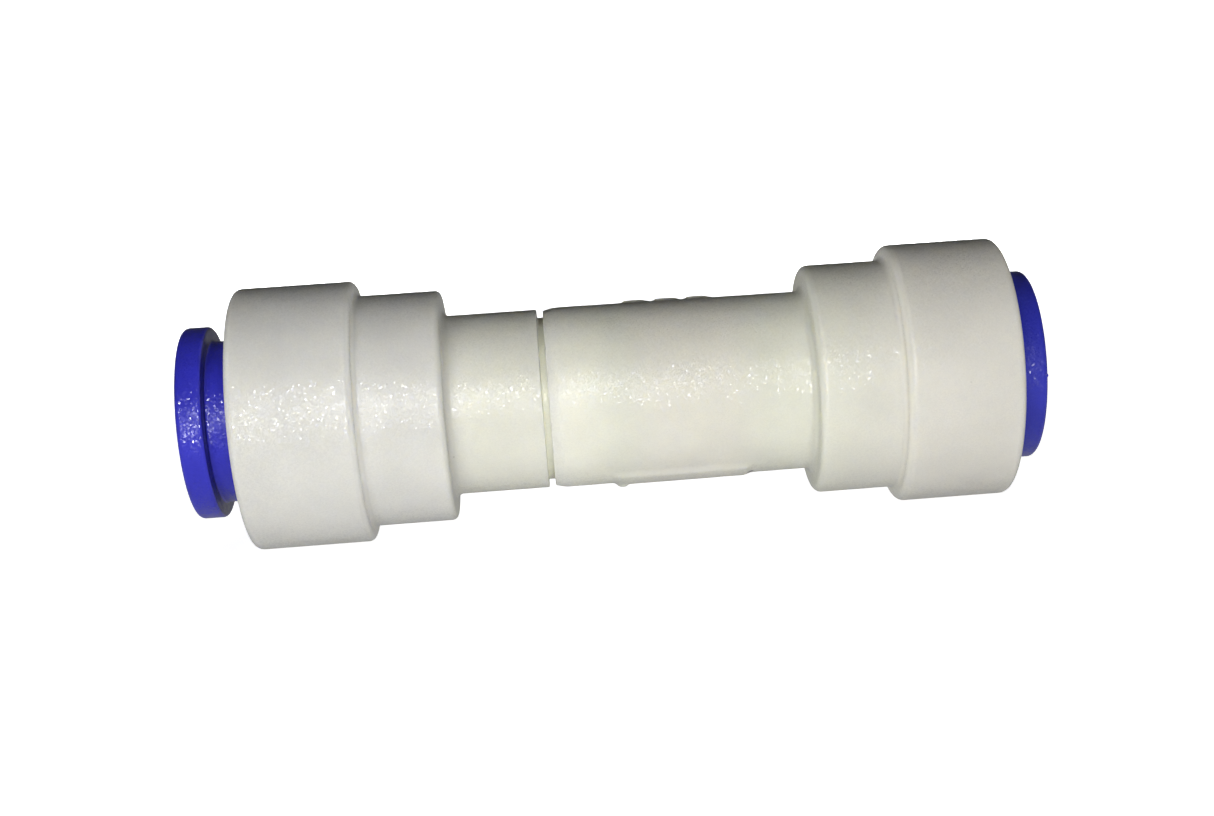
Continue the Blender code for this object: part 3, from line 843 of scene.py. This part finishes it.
def make_valve_housing():
    """The cartridge's housing, with the seal's groove, the seat and the cage for the poppet."""
    corners = [
        (HOUSING_START, HOUSING_RADIUS, 0.3 * MM),
        (SEAL_GROOVE_START, HOUSING_RADIUS),
        (SEAL_GROOVE_START, SEAL_GROOVE_RADIUS),
        (SEAL_GROOVE_END, SEAL_GROOVE_RADIUS),
        (SEAL_GROOVE_END, HOUSING_RADIUS),
        (HOUSING_END, HOUSING_RADIUS, 0.2 * MM),
        (HOUSING_END, CAGE_LIP_RADIUS, 0.12 * MM),
        (CAGE_LIP_START, CAGE_LIP_RADIUS),
        (CAGE_LIP_START, CAGE_RADIUS),
        (CAGE_START, CAGE_RADIUS, 0.2 * MM),
        (SEAT_START, SEAT_BORE_RADIUS, 0.15 * MM),
        (HOUSING_START, SEAT_BORE_RADIUS, 0.3 * MM),
    ]
    mesh = revolved("valve_housing_moulding", corners)
    add_piece("valve_housing_moulding", mesh, GREY, "housing", "valve_housing")


def make_poppet():
    """The poppet: domed nose, disc, boss and stem."""
    corners = [
        (NOSE_TIP, AXIS_GAP),
        (NOSE_TIP + AXIS_GAP, NOSE_FLAT_RADIUS, 0.6 * MM),
        (NOSE_START, NOSE_RADIUS, 0.25 * MM),
        (NOSE_END, NOSE_RADIUS),
        (NOSE_END, POPPET_GROOVE_RADIUS),
        (DISC_START, POPPET_GROOVE_RADIUS),
        (DISC_START, DISC_RADIUS, 0.2 * MM),
        (DISC_END, DISC_RADIUS, 0.2 * MM),
        (DISC_END, BOSS_RADIUS, 0.05 * MM),
        (BOSS_END, BOSS_RADIUS, 0.15 * MM),
        (BOSS_END, STEM_RADIUS, 0.1 * MM),
        (STEM_END, STEM_RADIUS, 0.3 * MM),
        (STEM_END, AXIS_GAP),
    ]
    mesh = revolved("poppet_moulding", corners, SMALL_SIDES)
    add_piece("poppet_moulding", mesh, GREY, "poppet_group", "poppet")


def make_spring_guide():
    """The guide: a hub on three legs inside a ring."""
    corners = [
        (GUIDE_START, GUIDE_BORE_RADIUS, GUIDE_ROUND),
        (GUIDE_START, GUIDE_RADIUS, GUIDE_ROUND),
        (GUIDE_END, GUIDE_RADIUS, GUIDE_ROUND),
        (GUIDE_END, GUIDE_BORE_RADIUS, GUIDE_ROUND),
    ]
    start, finish = GUIDE_START - 1 * MM, GUIDE_END + 1 * MM
    window = [
        (start, GUIDE_HUB_RADIUS),
        (start, GUIDE_RING_INNER),
        (finish, GUIDE_RING_INNER),
        (finish, GUIDE_HUB_RADIUS),
    ]
    windows = []
    for number in range(GUIDE_WINDOWS):
        middle = number * tau / GUIDE_WINDOWS + GUIDE_WINDOW_HALF_ANGLE
        angles = sector_angles(middle, GUIDE_WINDOW_HALF_ANGLE, WINDOW_STEPS)
        windows.append(revolved("window", window, angles=angles))
    disc = revolved("spring_guide_moulding", corners, SMALL_SIDES)
    mesh = cut(disc, joined("windows", windows))
    add_piece("spring_guide_moulding", mesh, GREY, "housing", "spring_guide")


def make_valve_spring():
    """The coil spring, wound closer at its ends and halfway."""
    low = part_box("valve_spring")[0].x + WIRE_RADIUS
    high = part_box("valve_spring")[1].x - WIRE_RADIUS
    steps = int(SPRING_TURNS * SPRING_STEPS_PER_TURN)
    shape = bmesh.new()
    rings = []
    for step in range(steps + 1):
        part = step / steps
        climb = part - SPRING_CLOSING * sin(tau * 2 * part)
        angle = SPRING_TURNS * tau * part
        outwards = Vector((0, sin(angle), cos(angle)))
        centre = Vector((low + (high - low) * climb, 0, 0)) + outwards * SPRING_RADIUS
        ring = []
        for side in range(WIRE_SIDES):
            turn = side * tau / WIRE_SIDES
            offset = outwards * cos(turn) + Vector((sin(turn), 0, 0))
            ring.append(shape.verts.new(centre + offset * WIRE_RADIUS))
        rings.append(ring)
    for one, other in zip(rings, rings[1:]):
        for side in range(WIRE_SIDES):
            shape.faces.new((one[side - 1], one[side], other[side], other[side - 1]))
    shape.faces.new(rings[0])
    shape.faces.new(rings[-1])
    mesh = finished("valve_spring_wire", shape)
    piece = add_piece("valve_spring_wire", mesh, WIRE, "housing", "valve_spring")
    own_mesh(piece)


# ---------------------------------------------------------------- stage


# Table: its flat radius, the sweep at its edge and the wall's height. It glows by itself, and
# the glow grows between two distances from the part: distance, strength.
TABLE_RADIUS = 0.6
TABLE_SWEEP = 0.12
TABLE_WALL = 0.2
TABLE_SIDES = 96
SWEEP_STEPS = 12
CENTRE_HOLE = 0.001
GLOW_NEAR = (0.05, 0.78)
GLOW_FAR = (0.25, 1.0)

# Surround: its strength below and above, and how far from level it changes between them.
SURROUND_BELOW = 0.29
SURROUND_ABOVE = 0.02
SURROUND_BLEND = 0.3

# Soft lights all round, wide and low: name, place, width and power.
SIDE_LIGHTS = [
    ("front", (-0.02, -0.2, 0.01), 0.26, 0.40),
    ("behind", (0.0, 0.3, 0.01), 0.3, 0.5),
    ("inlet_side", (-0.3, 0.0, 0.03), 0.1, 0.10),
    ("outlet_side", (0.3, 0.0, 0.03), 0.1, 0.10),
]
SIDE_LIGHT_HEIGHT = 0.04

# The other lights: place, width and power. The flash stands above and left of the camera.
BOUNCE_LIGHT = ((0, -18 * MM, -26 * MM), 16 * MM, 0.0006)
FLASH_UP = 13 * MM
FLASH_LEFT = 17 * MM
FLASH_WIDTH = 8 * MM
FLASH_POWER = 0.12
OVERHEAD_LIGHT = ((0, 0, 0.5), 0.4, 0.6)


def make_floor():
    """A pale light table whose edge sweeps up into a low wall all round."""
    height = cad_box[0].z
    outline = [(CENTRE_HOLE, 0)]
    for step in range(SWEEP_STEPS + 1):
        turn = step / SWEEP_STEPS * pi / 2
        outline.append((TABLE_RADIUS + TABLE_SWEEP * sin(turn), TABLE_SWEEP * (1 - cos(turn))))
    outline.append((TABLE_RADIUS + TABLE_SWEEP, TABLE_WALL))
    shape = bmesh.new()
    points = [shape.verts.new((radius, 0, height + rise)) for radius, rise in outline]
    edges = [shape.edges.new(pair) for pair in zip(points, points[1:])]
    bmesh.ops.spin(shape, geom=points + edges, cent=(0, 0, 0), axis=(0, 0, 1), angle=tau,
                   steps=TABLE_SIDES)
    bmesh.ops.remove_doubles(shape, verts=shape.verts, dist=CENTRE_HOLE / 10)
    rim = [edge for edge in shape.edges if edge.calc_length() < CENTRE_HOLE / 5]
    bmesh.ops.holes_fill(shape, edges=rim)
    mesh = bpy.data.meshes.new("floor")
    shape.to_mesh(mesh)
    shape.free()
    mesh.shade_smooth()
    floor = bpy.data.objects.new("floor", mesh)
    bpy.context.scene.collection.objects.link(floor)
    floor.visible_diffuse = False
    floor.visible_glossy = False
    floor.visible_shadow = False
    floor.data.materials.append(glowing_table())
    return floor


def glowing_table():
    """The table's pale top, which glows by itself."""
    nodes = Nodes("pale_table")
    tone = nodes.ranged(nodes.noise(3, 2), 0.3, 0.7, 0, 1)
    reach = nodes.add("ShaderNodeVectorMath", operation="LENGTH")
    nodes.join(nodes.place, reach.inputs[0])
    (near, dim), (far, bright) = GLOW_NEAR, GLOW_FAR
    nodes.feed(Base_Color=nodes.mixed(tone, (0.86, 0.86, 0.86), (0.9, 0.9, 0.9)),
               Emission_Strength=nodes.ranged(reach.outputs["Value"], near, far, dim, bright))
    nodes.hold(Roughness=0.8, Emission_Color=(1, 1, 1, 1))
    return nodes.material


def add_light(name, place, aim, width, power, height=None):
    """An area light at a place, turned towards its aim: a disc, or an upright rectangle."""
    light = bpy.data.lights.new(name, "AREA")
    light.shape = "RECTANGLE" if height else "DISK"
    light.size = width
    light.size_y = height or width
    light.energy = power
    lamp = bpy.data.objects.new(name, light)
    bpy.context.scene.collection.objects.link(lamp)
    lamp.location = place
    lamp.rotation_euler = (Vector(aim) - Vector(place)).to_track_quat("-Z", "Y").to_euler()
    return lamp


# Camera: how it is turned from square-on to the flow axis, and where its axis passes.
CAMERA_YAW = radians(3.776)
CAMERA_ELEVATION = radians(11.5)
CAMERA_ROLL = radians(-4.383)
CAMERA_DISTANCE = 145.8 * MM
CAMERA_TARGET = Vector((4.48 * MM, 0, 0))
TARGET_LEFT_OF_AXIS = 1.75 * MM
TARGET_ABOVE_AXIS = 8.85 * MM
CAMERA_LENS = 55.5
CAMERA_SHIFT = (-0.0727, 0.0781)


def camera_axes():
    """The camera's right, up and forward directions."""
    ahead = Vector((0, cos(CAMERA_ELEVATION), -sin(CAMERA_ELEVATION)))
    above = Vector((0, sin(CAMERA_ELEVATION), cos(CAMERA_ELEVATION)))
    forward = Vector((sin(CAMERA_YAW), 0, 0)) + ahead * cos(CAMERA_YAW)
    level = Vector((cos(CAMERA_YAW), 0, 0)) - ahead * sin(CAMERA_YAW)
    right = level * cos(CAMERA_ROLL) + above * sin(CAMERA_ROLL)
    up = above * cos(CAMERA_ROLL) - level * sin(CAMERA_ROLL)
    return right, up, forward


def make_camera():
    """The camera, at the photograph's viewing angle."""
    right, up, forward = camera_axes()
    data = bpy.data.cameras.new("camera")
    data.lens = CAMERA_LENS
    data.shift_x, data.shift_y = CAMERA_SHIFT
    data.clip_start = 0.01
    data.clip_end = 20
    camera = bpy.data.objects.new("camera", data)
    bpy.context.scene.collection.objects.link(camera)
    place = CAMERA_TARGET - forward * CAMERA_DISTANCE
    place = place + right * TARGET_LEFT_OF_AXIS - up * TARGET_ABOVE_AXIS
    turned = Matrix((right, up, -forward)).transposed().to_4x4()
    camera.matrix_world = Matrix.Translation(place) @ turned
    bpy.context.scene.camera = camera
    return place, right, up


def make_surround():
    """A dim surround that is brighter below, as over a pale table."""
    world = bpy.data.worlds.new("world")
    bpy.context.scene.world = world
    world.use_nodes = True
    tree = world.node_tree
    place = tree.nodes.new("ShaderNodeTexCoord")
    axes = tree.nodes.new("ShaderNodeSeparateXYZ")
    ranged = tree.nodes.new("ShaderNodeMapRange")
    tree.links.new(place.outputs["Generated"], axes.inputs["Vector"])
    tree.links.new(axes.outputs["Z"], ranged.inputs["Value"])
    for key, value in (("From Min", -SURROUND_BLEND), ("From Max", SURROUND_BLEND),
                       ("To Min", SURROUND_BELOW), ("To Max", SURROUND_ABOVE)):
        ranged.inputs[key].default_value = value
    background = tree.nodes["Background"]
    background.inputs["Color"].default_value = (1, 1, 1, 1)
    tree.links.new(ranged.outputs["Result"], background.inputs["Strength"])


def make_lights(camera_place, right, up, floor):
    """Soft lights round the part, one from below, a flash beside the camera and one overhead.

    The flash makes only the shine, and the one overhead lights only the table.
    """
    for name, place, width, power in SIDE_LIGHTS:
        lamp = add_light(name, place, (0, 0, place[2] / 2), width, power, SIDE_LIGHT_HEIGHT)
        lamp.visible_glossy = False
    place, width, power = BOUNCE_LIGHT
    bounce = add_light("bounce", place, (0, 0, 0), width, power)
    bounce.visible_glossy = False
    bounce.visible_camera = False
    flash_place = camera_place + up * FLASH_UP - right * FLASH_LEFT
    flash = add_light("flash", flash_place, (0, 0, 0), FLASH_WIDTH, FLASH_POWER)
    flash.visible_diffuse = False
    place, width, power = OVERHEAD_LIGHT
    overhead = add_light("overhead", place, (0, 0, 0), width, power)
    receivers = bpy.data.collections.new("table_only")
    receivers.objects.link(floor)
    overhead.light_linking.receiver_collection = receivers


make_inlet_body()
make_outlet_body()
make_collets()
make_seals()
make_valve_housing()
make_poppet()
make_spring_guide()
make_valve_spring()
make_surround()
make_lights(*make_camera(), make_floor())
bpy.context.scene.view_settings.view_transform = "Standard"
